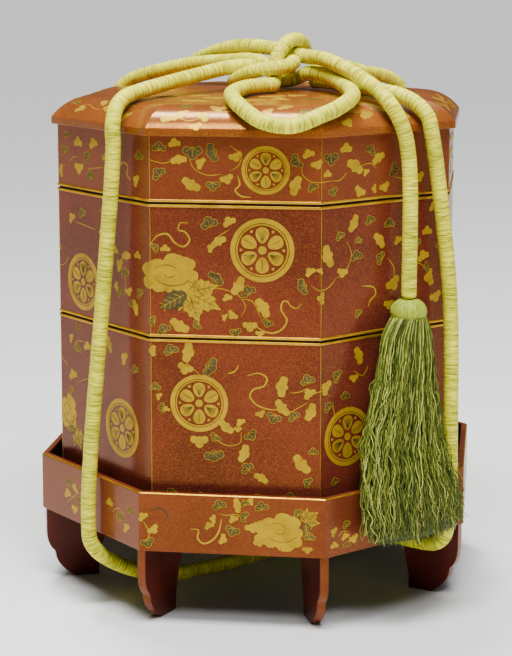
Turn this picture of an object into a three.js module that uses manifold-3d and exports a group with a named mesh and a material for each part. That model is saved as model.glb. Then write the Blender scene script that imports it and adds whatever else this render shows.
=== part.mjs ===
// An eight-sided lacquer shell box in two tiers under a deep lid, on its own tray stand,
// tied with a silk-wound cord that ends in two tassels. Millimetres, +Z up. The origin is on the
// floor under the box's axis, and the front face looks along -Y.
import * as THREE from 'three';
import { mergeVertices } from 'three/addons/utils/BufferGeometryUtils.js';
import Module from 'manifold-3d';

const wasm = await Module();
wasm.setup();

// Driving dimensions
const SIDES = 8;
const BODY_APOTHEM = 184.8; // axis to a flat side of the box
const LOWER_TIER_HEIGHT = 184;
const UPPER_TIER_HEIGHT = 121.5;
const LID_SKIRT_HEIGHT = 60;
const TIER_WALL = 9.5;
const LID_WALL = 6;
const FLOOR_THICKNESS = 8;
const LIP_HEIGHT = 9; // inner lip that locates the piece above
const LIP_CLEARANCE = 0.5;
const SEAT_GAP = 0.3; // between pieces that rest on each other
const BEAD_HEIGHT = 2.3;
const BEAD_RAISE = 0.9;
const SEAM_GROOVE = 0.9; // half the dark groove between two beads
const GROOVE_DEPTH = 1;

const EAVE_OVERHANG = 5.5;
const EAVE_HEIGHT = 6.5;
const SHOULDER_RADIUS = 46;
const SHOULDER_START = 55; // slope in degrees where the shoulder leaves the eave
const SHOULDER_END = 2.5;
const SHOULDER_STEPS = 7;
const CROWN_RISE = 3.4; // centre of the roof above the end of the shoulder
const ROOF_THICKNESS = 8;

const STAND_CLEARANCE = 11.45; // between the box and the inside of the rim
const STAND_RIM_HEIGHT = 54.5;
const STAND_RIM_WALL = 7;
const STAND_FLOOR = 8;
const LEG_HEIGHT = 70.2;
const LEG_THICKNESS = 9;
const LEG_INSET = 3; // outer edge of a leg inside the tray's corner
const LEG_STRAIGHT = 22; // straight part of the outer edge under the tray
const LEG_CUSP_INSET = 8.5;
const LEG_CUSP_HEIGHT = 27;
const LEG_TOE_INSET = 27; // outer end of the flat foot inside the leg's outer edge
const LEG_FOOT_LENGTH = 24;
const LEG_HEEL_HEIGHT = 9;
const LEG_BRACKET_REACH = 75; // length of the leg's top edge under the tray

const CORD_DIAMETER = 14;
const CORD_SIDES = 8;
const TASSEL_HEAD_RADIUS = 17;
const TASSEL_HEAD_HEIGHT = 17;
const TASSEL_LENGTH = 220;
const TASSEL_GAP = 0.4;
const TASSEL_SIDES = 16;
const FRONT_TASSEL_FACING = -45; // the flat side that each tassel hangs beside
const BACK_TASSEL_FACING = 135;

// Heights that follow from them
const STAND_APOTHEM = BODY_APOTHEM + STAND_CLEARANCE + STAND_RIM_WALL;
const STAND_UNDERSIDE = LEG_HEIGHT + SEAT_GAP;
const LOWER_BOTTOM = STAND_UNDERSIDE + STAND_FLOOR + SEAT_GAP;
const LOWER_SEAM = LOWER_BOTTOM + LOWER_TIER_HEIGHT;
const UPPER_SEAM = LOWER_SEAM + UPPER_TIER_HEIGHT;
const EAVE_UNDERSIDE = UPPER_SEAM + LID_SKIRT_HEIGHT;
const EAVE_TOP = EAVE_UNDERSIDE + EAVE_HEIGHT;
const LID_INSIDE = BODY_APOTHEM - LID_WALL;
const LIP_OUTSIDE = LID_INSIDE - LIP_CLEARANCE;
const TIER_INSIDE = BODY_APOTHEM - TIER_WALL;
const STAND_CORNER = STAND_APOTHEM / Math.cos(Math.PI / SIDES);

const radians = THREE.MathUtils.degToRad;

// An eight-sided solid from a profile of [apothem, height] points
function octagonSolid(profile) {
  const toCorner = 1 / Math.cos(Math.PI / SIDES);
  const points = profile.map(([apothem, z]) => new THREE.Vector2(apothem * toCorner, z));
  const geometry = new THREE.LatheGeometry(points, SIDES, Math.PI / SIDES);
  return geometry.rotateX(Math.PI / 2);
}

// Raised bead and groove below a seam, from the wall up to the seam
function beadBelow(seam) {
  return [
    [BODY_APOTHEM, seam - SEAM_GROOVE - BEAD_HEIGHT - 0.2],
    [BODY_APOTHEM + BEAD_RAISE, seam - SEAM_GROOVE - BEAD_HEIGHT],
    [BODY_APOTHEM + BEAD_RAISE, seam - SEAM_GROOVE - 0.2],
    [BODY_APOTHEM - GROOVE_DEPTH, seam - SEAM_GROOVE],
    [BODY_APOTHEM - GROOVE_DEPTH, seam - SEAT_GAP / 2],
  ];
}

// The same bead above a seam, from the seam up to the wall
function beadAbove(seam) {
  return beadBelow(-seam).map(([apothem, z]) => [apothem, -z]).reverse();
}

// A tier from its underside at the axis, round the outside, over the lip and back to the axis
function tierProfile(underside, seam, floorTop) {
  return [
    ...underside,
    ...beadBelow(seam),
    [LIP_OUTSIDE, seam - SEAT_GAP / 2],
    [LIP_OUTSIDE, seam + LIP_HEIGHT],
    [TIER_INSIDE, seam + LIP_HEIGHT],
    [TIER_INSIDE, floorTop],
    [0, floorTop],
  ];
}

function lowerTier() {
  const underside = [[0, LOWER_BOTTOM], [BODY_APOTHEM, LOWER_BOTTOM]];
  return octagonSolid(tierProfile(underside, LOWER_SEAM, LOWER_BOTTOM + FLOOR_THICKNESS));
}

function upperTier() {
  const recess = LOWER_SEAM + LIP_HEIGHT + LIP_CLEARANCE + SEAT_GAP;
  const underside = [
    [0, recess],
    [LID_INSIDE, recess],
    [LID_INSIDE, LOWER_SEAM + SEAT_GAP / 2],
    ...beadAbove(LOWER_SEAM),
  ];
  return octagonSolid(tierProfile(underside, UPPER_SEAM, recess + FLOOR_THICKNESS));
}

// The rounded shoulder of the roof, from the eave inward
function shoulder() {
  const start = radians(SHOULDER_START);
  const end = radians(SHOULDER_END);
  const eave = BODY_APOTHEM + EAVE_OVERHANG;
  const points = [];
  for (let i = 0; i <= SHOULDER_STEPS; i += 1) {
    const slope = start + ((end - start) * i) / SHOULDER_STEPS;
    const inward = SHOULDER_RADIUS * (Math.sin(start) - Math.sin(slope));
    const rise = SHOULDER_RADIUS * (Math.cos(slope) - Math.cos(start));
    points.push([eave - inward, EAVE_TOP + rise]);
  }
  return points;
}

function lid() {
  const roof = shoulder();
  const [flatApothem, flatHeight] = roof[roof.length - 1];
  const crown = flatHeight + CROWN_RISE;
  return octagonSolid([
    [LID_INSIDE, EAVE_UNDERSIDE + EAVE_HEIGHT / 2],
    [LID_INSIDE, UPPER_SEAM + SEAT_GAP / 2],
    ...beadAbove(UPPER_SEAM),
    [BODY_APOTHEM, EAVE_UNDERSIDE],
    [BODY_APOTHEM + EAVE_OVERHANG, EAVE_UNDERSIDE],
    ...roof,
    [flatApothem / 2, flatHeight + CROWN_RISE * 0.8],
    [0, crown],
    [0, crown - ROOF_THICKNESS],
    [flatApothem / 2, flatHeight + CROWN_RISE * 0.8 - ROOF_THICKNESS],
    [flatApothem, flatHeight - ROOF_THICKNESS],
    [LID_INSIDE, EAVE_UNDERSIDE + EAVE_HEIGHT / 2],
  ]);
}

function standTray() {
  const inside = STAND_APOTHEM - STAND_RIM_WALL;
  const rimTop = STAND_UNDERSIDE + STAND_RIM_HEIGHT;
  const floorTop = STAND_UNDERSIDE + STAND_FLOOR;
  return octagonSolid([
    [0, STAND_UNDERSIDE],
    [STAND_APOTHEM, STAND_UNDERSIDE],
    [STAND_APOTHEM, rimTop],
    [inside, rimTop],
    [inside, floorTop],
    [0, floorTop],
  ]);
}

// A scrolled plate in the radial plane of one corner
function leg(corner) {
  const out = STAND_CORNER - LEG_INSET;
  const cusp = out - LEG_CUSP_INSET;
  const toe = out - LEG_TOE_INSET;
  const heel = toe - LEG_FOOT_LENGTH;
  const back = out - LEG_BRACKET_REACH;
  const shape = new THREE.Shape();
  shape.moveTo(back, LEG_HEIGHT);
  shape.quadraticCurveTo(heel - 6, LEG_HEIGHT * 0.66, heel - 3, LEG_CUSP_HEIGHT);
  shape.quadraticCurveTo(heel, LEG_HEEL_HEIGHT * 1.6, heel, LEG_HEEL_HEIGHT);
  shape.lineTo(heel, 0);
  shape.lineTo(toe, 0);
  shape.quadraticCurveTo(cusp, LEG_HEEL_HEIGHT * 1.4, cusp, LEG_CUSP_HEIGHT - 3);
  shape.lineTo(cusp + 1, LEG_CUSP_HEIGHT);
  shape.quadraticCurveTo(out, LEG_CUSP_HEIGHT + 6, out, LEG_HEIGHT - LEG_STRAIGHT);
  shape.lineTo(out, LEG_HEIGHT);
  const geometry = new THREE.ExtrudeGeometry(shape, {
    depth: LEG_THICKNESS,
    bevelEnabled: false,
    curveSegments: 5,
  });
  geometry.rotateX(Math.PI / 2);
  geometry.translate(0, LEG_THICKNESS / 2, 0);
  geometry.rotateZ(((corner + 0.5) * 2 * Math.PI) / SIDES);
  return geometry;
}

// The cord's stretches: points of its centre line, chosen by hand. A first wrap runs from the
// knot over the front left side, under the stand and up the back right side.
const FIRST_WRAP = [
  [-4, -12, 496.5], [-22, -26, 496.5], [-58, -68, 489], [-92, -118, 480], [-105, -147, 475],
  [-109.5, -164, 466.5], [-111, -172, 452], [-111, -171, 430], [-123, -164, 300], [-137, -162.5, 150],
  [-140, -162.5, 86], [-138, -161, 62], [-124, -147, 42], [-84, -109, 17.5], [0, -15, 9.5], [85, 92, 18.5],
  [115, 126, 32], [136, 148, 48], [145, 158, 74], [145, 157.5, 110], [139, 155, 250],
  [131, 150.5, 425], [130, 150.5, 450], [127, 147.5, 465], [118, 138, 475.5], [91, 92, 485.5],
  [72, 56, 493], [56, 34, 493], [42, 20, 487.5], [28, 11, 482], [12, 2, 481.5],
];

// The second wrap runs over the front right side, under the first and up the back left side.
const SECOND_WRAP = [
  [48, 3, 481.5], [66, -6, 481.3], [97, -46, 480.2], [121, -90, 479], [139, -104, 476.8],
  [155, -110, 469.5], [166, -113.5, 458], [169.5, -114, 445], [176, -107, 400], [188, -99, 290],
  [190.5, -107, 170], [190, -112, 86], [186.4, -109.9, 66.5], [179.4, -105.7, 58.4],
  [169, -99.6, 55.7], [139, -82, 55.5], [40, -24, 58.5], [-80, 48, 57], [-132, 82, 55.5],
  [-164.7, 105.3, 55.7], [-173.5, 111.5, 58.4], [-180, 116.2, 66.5], [-184, 119, 86], [-180, 117, 170],
  [-172, 114, 350], [-169, 112.5, 448], [-163, 109.5, 464], [-151, 105, 474.5], [-133, 98, 481],
  [-82, 75, 493], [-36, 48, 498], [-18, 29, 500], [-5, 13, 499.5], [5, 2, 496.5], [10, -3, 495.5],
];

// The bow: a short upright loop that dives under the knot's band, then the large loop that lies on
// the lid and hangs a little over its front edge.
const FRONT_LOOP = [
  [41, 30, 500], [40, 23, 511], [37, 12, 519], [32, 0, 521.5], [25, -11, 518], [19, -17.5, 509],
  [16, -22, 497.5], [15.5, -30, 487], [17, -44, 481.2], [15, -58, 481], [8, -66, 481],
  [1, -77, 480.9], [-5, -97, 480.5], [-8, -134, 479.4], [-7, -152, 478.4], [-3, -168, 476],
  [4, -181, 471.5], [26, -196.5, 459], [52, -198, 455.5], [78, -186.5, 464.5], [89, -175, 469],
  [97, -159, 474], [100, -142, 476.8], [94, -100, 480.5], [74, -48, 487.5], [61, -28, 490],
  [50, -17, 490], [41, -10, 488],
];

// Both ends: up from the front tassel, across the knot and down the back left side.
const TWO_ENDS = [
  [152, -136, 295], [152, -134, 395], [150, -133, 425], [147, -135.5, 443], [141, -138.5, 459],
  [133, -136, 471], [122, -124, 481.5], [86, -72, 499], [63, -36, 505], [40, -3, 506], [8, 27, 511.5],
  [-34, 66, 511.5], [-80, 112.5, 496.4], [-105, 143, 480.5], [-113, 154, 471.5], [-118.5, 161.5, 461],
  [-120, 163, 448], [-122, 165, 395], [-122.5, 167.5, 306],
];

// The band across the front of the knot.
const KNOT_BAND = [
  [-23, -26, 481.2], [-19, -38, 484.5], [-8, -46.5, 491], [8, -47.5, 495.5], [20, -43, 496.5],
  [30, -34, 498], [34, -24, 500.5], [31.5, -13.5, 500], [26, -4, 493],
];

// A smooth curve that a tube follows with one ring at each of its points
class Route extends THREE.CatmullRomCurve3 {
  constructor(points) {
    super(points.map((point) => new THREE.Vector3(...point)), false, 'centripetal');
  }

  getUtoTmapping(u) {
    return u;
  }
}

function cordTube(points, diameter = CORD_DIAMETER) {
  const section = new THREE.Shape();
  for (let i = 0; i < CORD_SIDES; i += 1) {
    const angle = (i * 2 * Math.PI) / CORD_SIDES;
    const method = i === 0 ? 'moveTo' : 'lineTo';
    section[method]((diameter / 2) * Math.cos(angle), (diameter / 2) * Math.sin(angle));
  }
  return new THREE.ExtrudeGeometry(section, {
    steps: points.length - 1,
    extrudePath: new Route(points),
    bevelEnabled: false,
  });
}

// Closed solid from rings of equal point counts, from the top ring to the bottom one
function ringSolid(rings) {
  const count = rings[0].length;
  const positions = rings.flat(2);
  const index = [];
  for (let r = 0; r + 1 < rings.length; r += 1) {
    for (let i = 0; i < count; i += 1) {
      const j = (i + 1) % count;
      const above = r * count;
      const below = above + count;
      index.push(above + i, below + i, below + j, above + i, below + j, above + j);
    }
  }
  const last = (rings.length - 1) * count;
  for (let i = 1; i + 1 < count; i += 1) {
    index.push(0, i, i + 1, last, last + i + 1, last + i);
  }
  const geometry = new THREE.BufferGeometry();
  geometry.setAttribute('position', new THREE.Float32BufferAttribute(positions, 3));
  geometry.setIndex(index);
  return geometry;
}

function toManifold(geometry) {
  const bare = geometry.clone();
  bare.deleteAttribute('normal');
  bare.deleteAttribute('uv');
  const merged = mergeVertices(bare, 1e-3);
  return new wasm.Manifold(new wasm.Mesh({
    numProp: 3,
    vertProperties: new Float32Array(merged.attributes.position.array),
    triVerts: new Uint32Array(merged.index.array),
  }));
}

function toGeometry(manifold) {
  const mesh = manifold.getMesh();
  const geometry = new THREE.BufferGeometry();
  geometry.setAttribute('position', new THREE.BufferAttribute(new Float32Array(mesh.vertProperties), 3));
  geometry.setIndex(new THREE.BufferAttribute(new Uint32Array(mesh.triVerts), 1));
  return geometry;
}

// Thread skirt below a tassel's head: share of its length, then half width along the side,
// half depth, drift along the side and outward drift
const SKIRT_STATIONS = [
  [0, 16.5, 15.5, 0, 0],
  [0.075, 26.5, 17, -2.5, 1],
  [0.26, 33.5, 18.5, -5.5, 3],
  [0.55, 47, 20, -11, 8],
  [0.7, 51, 20, -13, 16],
  [0.8, 56, 17, -11, 20.5],
  [1, 60, 15, -5, 21],
];

// A tassel on a cord that ends at a point, beside a flat side that faces an angle in degrees
function tassel(end, facing, neighbour) {
  const outward = new THREE.Vector2(1, 0).rotateAround(new THREE.Vector2(), radians(facing));
  const along = new THREE.Vector2(-outward.y, outward.x);
  const top = end[2] - TASSEL_GAP;
  const skirtTop = top - TASSEL_HEAD_HEIGHT;
  const skirtLength = TASSEL_LENGTH - TASSEL_HEAD_HEIGHT;
  const ring = (z, width, depth, sideways, out) => {
    const points = [];
    for (let i = 0; i < TASSEL_SIDES; i += 1) {
      const angle = (i * 2 * Math.PI) / TASSEL_SIDES;
      const u = sideways + width * Math.cos(angle);
      const v = out + depth * Math.sin(angle);
      points.push([end[0] + along.x * u + outward.x * v, end[1] + along.y * u + outward.y * v, z]);
    }
    return points.reverse();
  };
  const rings = [];
  const headSteps = 4;
  for (let i = 0; i <= headSteps; i += 1) {
    const angle = ((15 + (75 * i) / headSteps) * Math.PI) / 180;
    const radius = TASSEL_HEAD_RADIUS * Math.sin(angle);
    rings.push(ring(top - TASSEL_HEAD_HEIGHT * (1 - Math.cos(angle)) * 0.95, radius, radius, 0, 0));
  }
  rings.push(ring(skirtTop, TASSEL_HEAD_RADIUS - 1.5, TASSEL_HEAD_RADIUS - 1.5, 0, 0));
  for (const [share, width, depth, sideways, out] of SKIRT_STATIONS.slice(1)) {
    rings.push(ring(skirtTop - share * skirtLength, width, depth, sideways, out));
  }
  const body = ringSolid(rings);
  if (!neighbour) {
    return body;
  }
  const beside = cordTube(neighbour, CORD_DIAMETER + 3 * SEAT_GAP);
  return toGeometry(toManifold(body).subtract(toManifold(beside)));
}

const lacquer = new THREE.MeshStandardMaterial({ color: 0x9a4a1e, roughness: 0.25, metalness: 0 });
const darkLacquer = new THREE.MeshStandardMaterial({ color: 0x6e2a18, roughness: 0.3, metalness: 0 });
const silk = new THREE.MeshStandardMaterial({ color: 0xd6cf7a, roughness: 0.6, metalness: 0 });
const fringe = new THREE.MeshStandardMaterial({ color: 0x8c9a4a, roughness: 0.7, metalness: 0 });

const box = new THREE.Group();

function add(name, geometry, material) {
  const mesh = new THREE.Mesh(geometry, material);
  mesh.name = name;
  box.add(mesh);
}

add('lid', lid(), lacquer);
add('upper_tier', upperTier(), lacquer);
add('lower_tier', lowerTier(), lacquer);
add('stand_tray', standTray(), lacquer);
for (let corner = 0; corner < SIDES; corner += 1) {
  add(`leg_${corner + 1}`, leg(corner), darkLacquer);
}
add('cord_first_wrap', cordTube(FIRST_WRAP), silk);
add('cord_second_wrap', cordTube(SECOND_WRAP), silk);
add('cord_front_loop', cordTube(FRONT_LOOP), silk);
add('cord_two_ends', cordTube(TWO_ENDS), silk);
add('cord_knot_band', cordTube(KNOT_BAND), silk);
add('tassel_front', tassel(TWO_ENDS[0], FRONT_TASSEL_FACING, SECOND_WRAP), fringe);
add('tassel_back', tassel(TWO_ENDS[TWO_ENDS.length - 1], BACK_TASSEL_FACING), fringe);

export default box;
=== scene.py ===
"""Looks of an eight-sided lacquer shell box in two tiers, on its tray stand, tied with a silk cord.

Metres, +Z up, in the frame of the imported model. The front face looks along -Y. Flat designs and the
cord's route are written in millimetres, because that is how they were chosen.
"""
import math
import random

import bmesh
import bpy
from mathutils import Matrix, Vector, geometry


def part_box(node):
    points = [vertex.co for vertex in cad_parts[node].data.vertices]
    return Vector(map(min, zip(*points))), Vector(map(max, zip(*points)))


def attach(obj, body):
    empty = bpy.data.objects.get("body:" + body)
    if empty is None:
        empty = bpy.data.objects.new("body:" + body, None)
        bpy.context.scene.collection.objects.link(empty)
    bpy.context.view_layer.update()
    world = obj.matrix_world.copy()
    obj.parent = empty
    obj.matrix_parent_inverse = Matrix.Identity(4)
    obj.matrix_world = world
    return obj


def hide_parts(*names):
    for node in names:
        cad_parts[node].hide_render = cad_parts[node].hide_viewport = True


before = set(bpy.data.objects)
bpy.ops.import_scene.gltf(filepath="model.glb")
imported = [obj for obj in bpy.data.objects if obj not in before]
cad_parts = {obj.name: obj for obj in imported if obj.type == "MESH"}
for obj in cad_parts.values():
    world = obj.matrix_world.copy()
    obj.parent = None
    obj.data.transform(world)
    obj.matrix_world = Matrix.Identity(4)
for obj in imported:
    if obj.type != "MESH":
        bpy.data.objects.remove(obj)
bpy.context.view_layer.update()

MM = 0.001
SIDES = 8
SIDE_TURN = 2 * math.pi / SIDES
TO_CORNER = 1 / math.cos(math.pi / SIDES)
FRONT = -math.pi / 2  # the way the front face looks
random.seed(8)

# Sizes that the frame doesn't name
TIER_WALL = 9.5 * MM
LID_WALL = 6 * MM
FLOOR = 8 * MM
LIP_HEIGHT = 9 * MM
LIP_CLEARANCE = 0.5 * MM
SEAT_GAP = 0.3 * MM
BEAD_HEIGHT = 2.3 * MM
BEAD_RAISE = 0.9 * MM
BEAD_BEVEL = 0.2 * MM
SEAM_GROOVE = 0.9 * MM
GROOVE_DEPTH = 1 * MM
SEAM_BAND = SEAM_GROOVE + BEAD_HEIGHT + BEAD_BEVEL
EAVE_HEIGHT = 6.5 * MM
SHOULDER_RADIUS = 46 * MM
STEEP, FLAT = math.radians(55), math.radians(2.5)  # slopes of the shoulder, at the eave and above
ROOF_THICKNESS = 8 * MM
CROWN_RISE = 3.4 * MM
RIM_WALL = 7 * MM
RIM_EDGE = 1.2 * MM
CORNER_RADIUS = 1.4 * MM
LEG_THICKNESS = 9 * MM
LEG_BEVEL = 0.8 * MM
CORD_RADIUS = 7 * MM

# Places that it does
BODY_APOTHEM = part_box("lower_tier")[1].x - BEAD_RAISE
LOWER_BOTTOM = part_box("lower_tier")[0].z
LOWER_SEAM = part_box("lower_tier")[1].z - LIP_HEIGHT
UPPER_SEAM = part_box("upper_tier")[1].z - LIP_HEIGHT
EAVE_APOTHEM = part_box("lid")[1].x
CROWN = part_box("lid")[1].z
EAVE_TOP = CROWN - CROWN_RISE - SHOULDER_RADIUS * (math.cos(FLAT) - math.cos(STEEP))
EAVE_UNDERSIDE = EAVE_TOP - EAVE_HEIGHT
STAND_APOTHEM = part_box("stand_tray")[1].x
STAND_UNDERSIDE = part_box("stand_tray")[0].z
RIM_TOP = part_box("stand_tray")[1].z
LEG_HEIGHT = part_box("leg_1")[1].z


def link_object(name, data):
    made = bpy.data.objects.new(name, data)
    bpy.context.collection.objects.link(made)
    return made


def add_camera():
    """The photograph's viewing angle: a tilted camera with a part of the lens shift that kept
    the photograph's uprights parallel."""
    turn = math.radians(7.6)
    tilt = math.radians(8.18)
    data = bpy.data.cameras.new("camera")
    data.lens = 100.02
    data.sensor_width = 36
    data.shift_y = -0.16
    data.clip_end = 100
    camera = link_object("camera", data)
    camera.location = (0.2294, -1.7587, 0.5965)
    camera.rotation_euler = (math.pi / 2 - tilt, 0, turn)
    bpy.context.scene.camera = camera


# Materials

def new_material(name, colour, roughness, metallic=0.0, **settings):
    """A material, its nodes and its shader; settings are sockets, with _ for a space."""
    material = bpy.data.materials.new(name)
    material.use_nodes = True
    tree = material.node_tree
    shader = tree.nodes["Principled BSDF"]
    shader.inputs["Base Color"].default_value = (*colour, 1)
    shader.inputs["Roughness"].default_value = roughness
    shader.inputs["Metallic"].default_value = metallic
    for socket, value in settings.items():
        shader.inputs[socket.replace("_", " ")].default_value = value
    return material, tree, shader


def add_node(tree, kind, **sockets):
    made = tree.nodes.new(kind)
    for name, value in sockets.items():
        made.inputs[name].default_value = value
    return made


def object_place(tree):
    return tree.nodes.new("ShaderNodeTexCoord").outputs["Object"]


def map_place(tree, across, along):
    """The first map coordinate, and the whole map stretched."""
    parts = tree.nodes.new("ShaderNodeSeparateXYZ")
    tree.links.new(tree.nodes.new("ShaderNodeTexCoord").outputs["UV"], parts.inputs["Vector"])
    stretched = tree.nodes.new("ShaderNodeCombineXYZ")
    for axis, factor in (("X", across), ("Y", along)):
        tree.links.new(maths(tree, "MULTIPLY", parts.outputs[axis], factor), stretched.inputs[axis])
    return parts.outputs["X"], stretched.outputs["Vector"]


def noise(tree, place, scale, detail, **more):
    made = add_node(tree, "ShaderNodeTexNoise", Scale=scale, Detail=detail, **more)
    tree.links.new(place, made.inputs["Vector"])
    return made.outputs


def ramp(tree, source, stops):
    """A colour ramp on a value; stops are (place, colour)."""
    made = tree.nodes.new("ShaderNodeValToRGB")
    elements = made.color_ramp.elements
    while len(elements) < len(stops):
        elements.new(0.5)
    for element, (place, colour) in zip(elements, stops):
        element.position = place
        element.color = (*colour, 1)
    tree.links.new(source, made.inputs["Fac"])
    return made.outputs["Color"]


def plug(tree, socket, value):
    """Links another node's output, or sets a value."""
    if isinstance(value, bpy.types.NodeSocket):
        tree.links.new(value, socket)
    elif isinstance(value, tuple):
        socket.default_value = (*value, 1)
    else:
        socket.default_value = value


def mix(tree, factor, first, second, blend="MIX"):
    made = tree.nodes.new("ShaderNodeMix")
    made.data_type = "RGBA"
    made.blend_type = blend
    for index, value in ((0, factor), (6, first), (7, second)):
        plug(tree, made.inputs[index], value)
    return made.outputs[2]


def maths(tree, operation, *values):
    made = tree.nodes.new("ShaderNodeMath")
    made.operation = operation
    for socket, value in zip(made.inputs, values):
        plug(tree, socket, value)
    return made.outputs[0]


def bump(tree, shader, height, strength, distance):
    made = add_node(tree, "ShaderNodeBump", Strength=strength, Distance=distance)
    tree.links.new(height, made.inputs["Height"])
    tree.links.new(made.outputs["Normal"], shader.inputs["Normal"])


def flakes(tree, place, scale, share):
    """Over 0 on gold flakes that fill a share of cells, and 0 between them."""
    cells = add_node(tree, "ShaderNodeTexVoronoi", Scale=scale)
    tree.links.new(place, cells.inputs["Vector"])
    parts = tree.nodes.new("ShaderNodeSeparateColor")
    tree.links.new(cells.outputs["Color"], parts.inputs["Color"])
    chosen = maths(tree, "LESS_THAN", parts.outputs["Red"], share)
    near = maths(tree, "LESS_THAN", cells.outputs["Distance"], 0.42)
    bright = maths(tree, "MULTIPLY_ADD", parts.outputs["Green"], 0.6, 0.4)
    return maths(tree, "MULTIPLY", maths(tree, "MULTIPLY", chosen, near), bright)


def sprinkled_lacquer(name, ground, deep, flake=(0.52, 0.185, 0.022), share=0.56):
    """Polished red-brown lacquer sprinkled with gold flakes, which tint what it mirrors."""
    material, tree, shader = new_material(
        name, ground, 0.2, Specular_IOR_Level=0.34, Specular_Tint=(1.0, 0.45, 0.06, 1),
    )
    place = object_place(tree)
    cloud = noise(tree, place, 14.0, 4.0)["Fac"]
    base = ramp(tree, cloud, [(0.35, deep), (0.65, ground)])
    coarse = flakes(tree, place, 820, share * 0.6)
    fine = flakes(tree, place, 1700, share)
    gold = maths(tree, "MAXIMUM", coarse, maths(tree, "MULTIPLY", fine, 0.8))
    colour = mix(tree, maths(tree, "MULTIPLY", gold, 0.42), base, flake)
    tree.links.new(colour, shader.inputs["Base Color"])
    tree.links.new(maths(tree, "MULTIPLY", gold, 0.4), shader.inputs["Metallic"])
    bump(tree, shader, noise(tree, place, 45.0, 2.0)["Fac"], 0.12, 0.0004)
    return material


def plain_lacquer(name, colour, roughness=0.28):
    """Polished lacquer with faint unevenness and dust."""
    material, tree, shader = new_material(
        name, colour, roughness, Specular_IOR_Level=0.25, Specular_Tint=(1.0, 0.5, 0.35, 1),
        Coat_Weight=0.06, Coat_Roughness=0.15,
    )
    cloud = noise(tree, object_place(tree), 30.0, 5.0)["Fac"]
    stops = [(place, tuple(share * c for c in colour)) for place, share in ((0.3, 0.6), (0.7, 1.3))]
    tree.links.new(ramp(tree, cloud, stops), shader.inputs["Base Color"])
    bump(tree, shader, cloud, 0.1, 0.0005)
    return material


def sprinkled_picture(name, colour, dark, metallic, roughness=0.36):
    """Gold or tinned powder laid on wet lacquer: a matt metal with a fine grain, rubbed in places."""
    material, tree, shader = new_material(
        name, colour, roughness, metallic, Specular_IOR_Level=0.3, Specular_Tint=(1.0, 0.7, 0.08, 1),
    )
    place = object_place(tree)
    grain = noise(tree, place, 900.0, 2.0)
    rubbed = noise(tree, place, 70.0, 4.0)
    value = tree.nodes.new("ShaderNodeSeparateColor")
    tree.links.new(mix(tree, 0.4, rubbed["Color"], grain["Color"]), value.inputs["Color"])
    colours = ramp(tree, value.outputs["Red"], [(0.36, dark), (0.56, colour)])
    tree.links.new(colours, shader.inputs["Base Color"])
    bump(tree, shader, grain["Fac"], 0.25, 0.0001)
    return material


def wound_silk(name):
    """Fine silk wound across the cord: pale threads, dark olive in the gaps as painted shade, with uneven
    strands.
    """
    material, tree, shader = new_material(
        name, (0.75, 0.70, 0.25), 0.5, Specular_IOR_Level=0.3, Specular_Tint=(1.0, 0.95, 0.5, 1),
        Sheen_Weight=0.06, Sheen_Roughness=0.4, Sheen_Tint=(1.0, 1.0, 0.35, 1),
    )
    strands = noise(tree, map_place(tree, 2.2, 760)[1], 1.0, 4.0, Roughness=0.65)["Fac"]
    patches = noise(tree, map_place(tree, 1.2, 55)[1], 1.0, 2.0)["Fac"]
    # The dark lower stops of this ramp paint shade in the gaps between the wound threads.
    thread = ramp(tree, strands, [
        (0.30, (0.10, 0.10, 0.003)), (0.42, (0.42, 0.40, 0.008)),
        (0.54, (0.88, 0.80, 0.03)), (0.68, (1.0, 0.95, 0.08)),
    ])
    tint = ramp(tree, patches, [(0.35, (0.80, 0.84, 0.6)), (0.62, (1.0, 1.0, 1.0))])
    tree.links.new(mix(tree, 1.0, thread, tint, "MULTIPLY"), shader.inputs["Base Color"])
    bump(tree, shader, strands, 0.5, 0.0006)
    return material


def tassel_silk(name, stops):
    """Loose silk: each thread has its own shade, given by the first map coordinate."""
    material, tree, shader = new_material(
        name, stops[-1][1], 0.45, Specular_IOR_Level=0.3, Specular_Tint=(1.0, 1.0, 0.5, 1),
        Sheen_Weight=0.1, Sheen_Tint=(0.9, 1.0, 0.3, 1),
    )
    thread, stretched = map_place(tree, 90, 26)
    streak = noise(tree, stretched, 1.0, 2.0)["Fac"]
    light = ramp(tree, streak, [(0.35, (0.55, 0.6, 0.5)), (0.65, (1.0, 1.0, 1.0))])
    colour = mix(tree, 1.0, ramp(tree, thread, stops), light, "MULTIPLY")
    tree.links.new(colour, shader.inputs["Base Color"])
    return material


NASHIJI = sprinkled_lacquer("sprinkled_lacquer", (0.135, 0.019, 0.014), (0.082, 0.011, 0.010))
GOLDEN_NASHIJI = sprinkled_lacquer(
    "sprinkled_lacquer_golden", (0.165, 0.033, 0.014), (0.115, 0.020, 0.011),
)
ROOF_NASHIJI = sprinkled_lacquer(
    "sprinkled_lacquer_roof", (0.21, 0.050, 0.011), (0.135, 0.028, 0.009), (0.64, 0.30, 0.02), 0.8,
)
BLACK = plain_lacquer("black_lacquer", (0.008, 0.006, 0.006))
LEG_LACQUER = plain_lacquer("leg_lacquer", (0.060, 0.008, 0.005), 0.35)
GOLD = sprinkled_picture("gold_powder", (0.46, 0.285, 0.009), (0.29, 0.175, 0.008), 0.3)
GREY = sprinkled_picture("dark_powder", (0.088, 0.068, 0.028), (0.032, 0.022, 0.011), 0.3)
BEAD_GOLD = sprinkled_picture("bead_gold", (0.62, 0.34, 0.015), (0.40, 0.18, 0.01), 0.8, 0.36)
CORD_SILK = wound_silk("wound_silk")
FRINGE_SILK = tassel_silk("fringe_silk", [
    (0.0, (0.012, 0.024, 0.003)), (0.3, (0.06, 0.09, 0.008)),
    (0.65, (0.25, 0.29, 0.03)), (1.0, (0.84, 0.82, 0.20)),
])
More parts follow.
